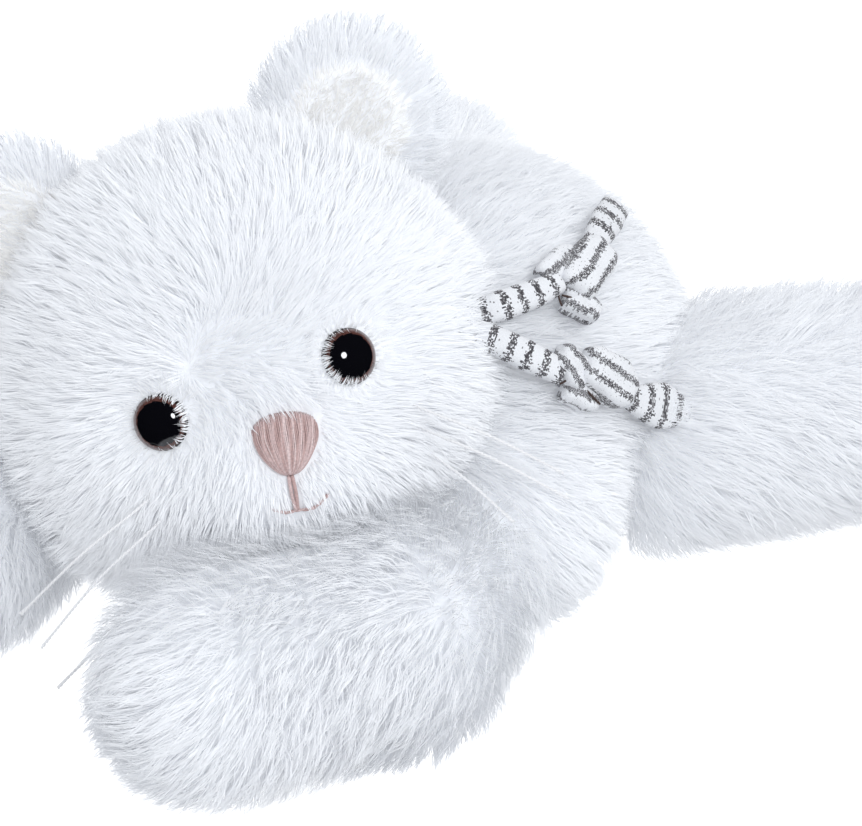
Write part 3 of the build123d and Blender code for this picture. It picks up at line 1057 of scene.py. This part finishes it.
def lower_ribbon():
    """The lower end of the bow, whose end is flared."""
    run = strip(LOWER_RUN, (4.3, 4.5, 4.6, 3.8), (2.4, 3.0, 3.0, 2.8), start=2.0)
    ribbon_piece("ribbon_lower_run", run, "ribbon_lower_tail")
    half_width = (3.4, 5.0, 6.6, 7.0, 5.6, 3.0)
    end = strip(LOWER_END, half_width, (2.6, 3.0, 3.0, 2.6, 2.1, 1.3), start=0.5, pace=0.85)
    ribbon_piece("ribbon_lower_end", end)
    up = slope(torso, LOWER_KNOT[None])[0]
    knot = "ribbon_lower_knot_"
    pad(knot + "face", LOWER_KNOT, (0.38, 0.8, -0.82), up, (10.6, 7.2, 5.2), 2.2)
    pad(knot + "fold", (78.6, 5.4, 79.9), (0.35, 0.97, -0.71), up, (7.2, 3.8, 3.8), 0.4)
    pad(knot + "loop", (75.0, 5.1, 88.0), (0.41, 0.44, -0.94), up, (7.0, 5.2, 4.8), 3.0)
    crease(
        "ribbon_lower_crease_shade",
        (
            ((76.1, 7.6, 90.7), (78.5, 7.2, 87.1), (80.4, 5.7, 84.4)),
            ((77.4, -1.6, 86.2), (77.8, 3.2, 86.7), (78.0, 7.8, 87.0)),
            ((80.2, 5.5, 83.7), (82.4, 7.0, 80.6), (84.2, 8.7, 77.8)),
            ((81.0, 24.8, 76.8), (82.1, 25.5, 73.5), (82.9, 22.8, 72.2)),
        ),
    )


def bow_folds():
    """The gathered cloth between the neck band and the two ends."""
    folds = strip(BOW, (3.0, 3.4, 6.0, 6.6), (2.2, 2.4, 3.4, 4.0), up=(0.5, -0.6, 0.4))
    ribbon_piece("ribbon_bow_folds", folds, "ribbon_bow_knot")


NECK_RADIUS = 48.0
NECK_STEPS = 240
NECK_SIDES = 16


def neck_band():
    """The ribbon's run round the neck, between head and body."""
    tilt = math.radians(45.0)
    axis = np.array((0, math.cos(tilt), -math.sin(tilt)))
    middle = HEAD_CENTRE + 49.85 * axis
    side = np.array((1.0, 0, 0))
    other = np.cross(axis, side)
    a = np.linspace(0, 2 * math.pi, NECK_STEPS + 1)[:, None]
    line = middle + NECK_RADIUS * (np.cos(a) * side + np.sin(a) * other)
    rings = round_rings(line, unit(line - middle), 2.1, NECK_SIDES)
    along = np.repeat(np.linspace(0, NECK_RADIUS * 2 * math.pi, NECK_STEPS + 1)[:-1], NECK_SIDES)
    column = np.tile(np.arange(NECK_SIDES), NECK_STEPS)
    bundle = Bundle()
    bundle.add(rings, stripes(along, column))
    ribbon_piece("ribbon_round_neck", bundle, "ribbon_neck_band")


upper_ribbon()
lower_ribbon()
bow_folds()
neck_band()

# CAD parts that stay


def inner(name, high, low, rough, scale):
    """A material of the inside parts."""
    return mottle(plain(name, high, rough), high, low, scale, 0.3)


CAD_LOOKS = {
    "fibre_filling": inner("fibre_filling", (0.93, 0.93, 0.93), (0.82, 0.82, 0.82), 0.9, 500.0),
    "pellet_cotton": inner("pellet_cotton", (0.88, 0.86, 0.81), (0.78, 0.76, 0.7), 0.85, 900.0),
    "white_thread": inner("white_thread", (0.95, 0.95, 0.96), (0.85, 0.85, 0.87), 0.6, 1500.0),
    "washer_plastic": inner("washer_plastic", (0.88, 0.88, 0.88), (0.8, 0.8, 0.8), 0.45, 300.0),
    "white_fur": BACKING,
    "cream_lining": CREAM[0],
    "pupil_black": PUPIL,
    "iris_brown": IRIS,
    "rose_thread": ROSE[0],
    "whisker_thread": WHISKER,
    "striped_knit": KNIT[0],
}
for part in frame["record"]["subparts"]:
    mesh = frame["nodes"][part["node"]].data
    mesh.materials.clear()
    mesh.materials.append(CAD_LOOKS[part["material_slot"]])

# Floor, light and camera

CAMERA = (0.82164, -0.82706, 0.71763)
FACE = Vector((0.02, -0.09, 0.09))
EYE_LIGHT = FACE + Vector((0.737, -0.325, 0.593)) * 1.5


def lay_floor():
    """A plain white floor, which neither tints the fur nor shows in the eyes."""
    mesh = bpy.data.meshes.new("floor")
    mesh.from_pydata([(-6, -6, 0), (6, -6, 0), (6, 6, 0), (-6, 6, 0)], [], [(0, 1, 2, 3)])
    look = plain("floor_white", (0.9, 0.9, 0.9), 0.9, Emission_Color=(1, 1, 1, 1), Emission_Strength=1.0)
    mesh.materials.append(look)
    floor = bpy.data.objects.new("floor", mesh)
    bpy.context.scene.collection.objects.link(floor)
    floor.visible_glossy = False
    floor.visible_diffuse = False


def studio():
    """Soft, slightly cool light from all round."""
    world = bpy.data.worlds.new("studio")
    world.use_nodes = True
    sky = world.node_tree.nodes["Background"]
    sky.inputs["Color"].default_value = (0.95, 0.972, 1.0, 1)
    sky.inputs["Strength"].default_value = 0.75
    world.cycles_visibility.glossy = False
    bpy.context.scene.world = world
    bpy.context.scene.view_settings.view_transform = "Standard"


def lamp(name, place, power, size, colour=(1, 1, 1)):
    """A round soft lamp turned to the face. Only the eye light is mirrored in the eyes."""
    light = bpy.data.lights.new(name, "AREA")
    light.energy = power
    light.size = size
    light.shape = "DISK"
    light.color = colour
    obj = bpy.data.objects.new(name, light)
    obj.location = place
    obj.rotation_euler = (FACE - Vector(place)).to_track_quat("-Z", "Y").to_euler()
    bpy.context.scene.collection.objects.link(obj)
    obj.visible_glossy = name == "eye_light"


def photo_camera():
    """The camera of the photograph."""
    lens = bpy.data.cameras.new("photo_view")
    lens.sensor_width = 36.0
    lens.lens = 180.97
    camera = bpy.data.objects.new("photo_view", lens)
    camera.location = CAMERA
    camera.rotation_euler = (math.radians(60), 0, math.radians(44))
    bpy.context.scene.collection.objects.link(camera)
    bpy.context.scene.camera = camera


lay_floor()
studio()
lamp("key", (1.3, 0.5, 1.5), 5.5, 0.9)
lamp("fill", (-0.9, -1.6, 1.2), 2.0, 1.2)
lamp("back", (-1.0, 1.5, 1.3), 3.5, 1.2)
lamp("eye_light", EYE_LIGHT, 6.5, 0.42, (0.94, 0.97, 1.0))
photo_camera()
